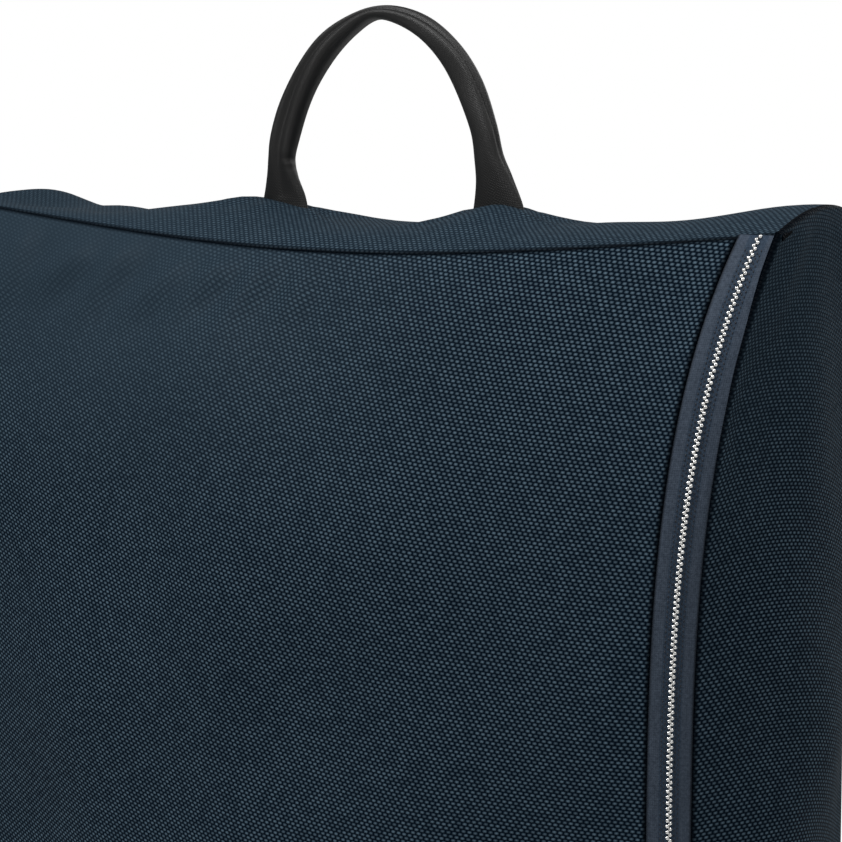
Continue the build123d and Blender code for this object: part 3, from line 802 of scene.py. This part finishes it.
# the dark colours are the cloth's own colour deepened by painted shade for the weave's gaps; the light ones
# add a painted highlight for the float tops
SHELL = woven("ballistic_weave", 0.00334, 0.00197, (0.0001, 0.0034, 0.0092, 1), (0.078, 0.122, 0.160, 1),
              0.5, 0.00035)
HANDLE = woven("handle_weave", 0.0009, 0.0009, (0.004, 0.004, 0.004, 1), (0.016, 0.016, 0.016, 1), 0.42,
               0.00008, specular=0.45, seam=False)
TAPE = tape_material()
THREAD = grained("zip_thread", (0.0005, 0.0015, 0.005, 1), (0.007, 0.014, 0.030, 1), 1500, 0.6, 0.0001,
                 sheen=0.1)
NICKEL = grained("bright_nickel", (0.78, 0.78, 0.77, 1), (0.92, 0.92, 0.90, 1), 900, 0.26, 0.00003,
                 metallic=1.0)
WEB = grained("inner_webbing_weave", (0.010, 0.010, 0.012, 1), (0.035, 0.036, 0.042, 1), 700, 0.8, 0.0002,
              (1, 1, 3))
BOARD = grained("board_sheet", (0.030, 0.030, 0.034, 1), (0.055, 0.055, 0.060, 1), 300, 0.6, 0.0001)
STEEL = grained("brushed_steel", (0.42, 0.43, 0.45, 1), (0.62, 0.63, 0.65, 1), 500, 0.34, 0.00004, (1, 8, 8),
                metallic=1.0)
PLASTIC = grained("moulded_black", (0.012, 0.012, 0.014, 1), (0.028, 0.028, 0.030, 1), 1200, 0.45, 0.00005)
FLOOR = grained("pale_floor", (0.80, 0.80, 0.79, 1), (0.86, 0.86, 0.85, 1), 3, 0.7, 0.0001)


# ---- put the pieces together ----
def place_piece(piece, material, slot, body, *nodes):
    dress(piece, material)
    if body:
        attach(piece, body)
    if nodes:
        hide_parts(*nodes)
    return piece


for name, side, outward in (("front_panel", FRONT, (0, -1, 0)), ("right_gusset", RIGHT_END, (1, 0, 0)),
                            ("back_panel", BACK, (0, 1, 0)), ("left_gusset", LEFT_END, (-1, 0, 0))):
    place_piece(wall_panel(name + "_cloth", side, outward), SHELL, "shell_cloth", "bag", name)
place_piece(top_panel(), SHELL, "shell_cloth", "bag", "top_gusset")
place_piece(base_panel(), SHELL, "shell_cloth", "bag", "bottom_gusset")
for name, side in (("front", -1), ("side", 1)):
    place_piece(zip_tape("zip_tape_cloth_" + name, side), TAPE, "zip_tape", "bag", "zip_tape_" + name)
    place_piece(zip_teeth("zip_teeth_row_" + name, side), NICKEL, "zip_metal", "bag", "zip_teeth_" + name)
place_piece(zip_stitches(), THREAD, "zip_tape", "bag")

webbing = place_piece(handle_piece(), HANDLE, "handle_webbing", None,
                      "handle_loop", "handle_foot_left", "handle_foot_right")
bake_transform(webbing)

HARD = {"slider_body": 0.0004, "slider_bridge": 0.0004, "pull_tab": 0.0004, "zip_bottom_stop": 0.0005,
        "hanger_bracket": 0.0004, "clamp_jaw": 0.0003, "buckle_socket": 0.0008, "buckle_plug": 0.0006}
FINISH = {"zip_metal": NICKEL, "bracket_steel": STEEL, "buckle_plastic": PLASTIC, "inner_webbing": WEB,
          "board": BOARD, "shell_cloth": SHELL, "zip_tape": TAPE, "handle_webbing": HANDLE}
SLOTS = {row["node"]: row["material_slot"] for row in frame["record"]["subparts"]}
BODY_OF = {node: body for body, nodes in frame["record"]["behaviour"]["bodies"].items() for node in nodes}
for node, eased in HARD.items():
    place_piece(finished_copy(node, eased), FINISH[SLOTS[node]], SLOTS[node], BODY_OF[node], node)
for node in ("handle_backing_left", "handle_backing_right"):
    place_piece(hung_copy(node, 0.9, 7), FINISH[SLOTS[node]], SLOTS[node], "bag", node)
place_piece(hung_copy("hanger_strap", 0.985), WEB, "inner_webbing", "bag", "hanger_strap")
for node in ("front_binding", "back_binding"):
    place_piece(hung_copy(node, 0.96, slices=40), WEB, "inner_webbing", "bag", node)
for node, piece in frame["nodes"].items():
    dress(piece, FINISH[SLOTS[node]])


# ---- stage, light and camera ----
def studio():
    mesh = bpy.data.meshes.new("floor")
    ring = [(2 * math.cos(t), 2 * math.sin(t), 0) for t in np.linspace(0, 2 * math.pi, 64, endpoint=False)]
    mesh.from_pydata(ring, [], [tuple(range(64))])
    floor = bpy.data.objects.new("floor", mesh)
    bpy.context.scene.collection.objects.link(floor)
    dress(floor, FLOOR)
    world = bpy.data.worlds.new("studio")
    bpy.context.scene.world = world
    world.use_nodes = True
    tree = world.node_tree
    tree.nodes.clear()
    seen, lit = tree.nodes.new("ShaderNodeBackground"), tree.nodes.new("ShaderNodeBackground")
    seen.inputs[0].default_value = (1, 1, 1, 1)
    lit.inputs[0].default_value = (1, 1, 1, 1)
    lit.inputs[1].default_value = 0.24
    path, mix, out = (tree.nodes.new(kind) for kind in
                      ("ShaderNodeLightPath", "ShaderNodeMixShader", "ShaderNodeOutputWorld"))
    tree.links.new(path.outputs["Is Camera Ray"], mix.inputs[0])
    tree.links.new(lit.outputs[0], mix.inputs[1])
    tree.links.new(seen.outputs[0], mix.inputs[2])
    tree.links.new(mix.outputs[0], out.inputs[0])
    for name, at, size, power in (("key", (-0.7, -1.45, 2.45), 0.7, 40), ("fill", (1.9, -1.3, 1.5), 1.2, 5),
                                  ("top", (0.8, 0.0, 2.6), 0.9, 13), ("back", (0.6, 2.2, 1.8), 1.6, 14)):
        lamp = bpy.data.lights.new(name, "AREA")
        lamp.size = size
        lamp.energy = power
        light = bpy.data.objects.new(name, lamp)
        light.location = at
        light.rotation_euler = (Vector((0, 0, 0.75)) - Vector(at)).to_track_quat("-Z", "Y").to_euler()
        bpy.context.scene.collection.objects.link(light)
    bpy.context.scene.view_settings.view_transform = "Standard"
    bpy.context.scene.view_settings.look = "None"


CAMERA_TURN, CAMERA_RISE, CAMERA_FAR = 34.32, 7.33, 1.678
CAMERA_AIM = (0.0226, 0.0, 0.8799)
CAMERA_LENS = 124.0


def camera():
    turn, rise = math.radians(CAMERA_TURN), math.radians(CAMERA_RISE)
    back = Vector((math.sin(turn) * math.cos(rise), -math.cos(turn) * math.cos(rise), math.sin(rise)))
    data = bpy.data.cameras.new("camera")
    data.lens = CAMERA_LENS
    data.sensor_width = 36.0
    data.clip_start = 0.01
    data.dof.use_dof = False
    eye = bpy.data.objects.new("camera", data)
    eye.location = Vector(CAMERA_AIM) + back * CAMERA_FAR
    eye.rotation_euler = (-back).to_track_quat("-Z", "Y").to_euler()
    bpy.context.scene.collection.objects.link(eye)
    bpy.context.scene.camera = eye


studio()
camera()
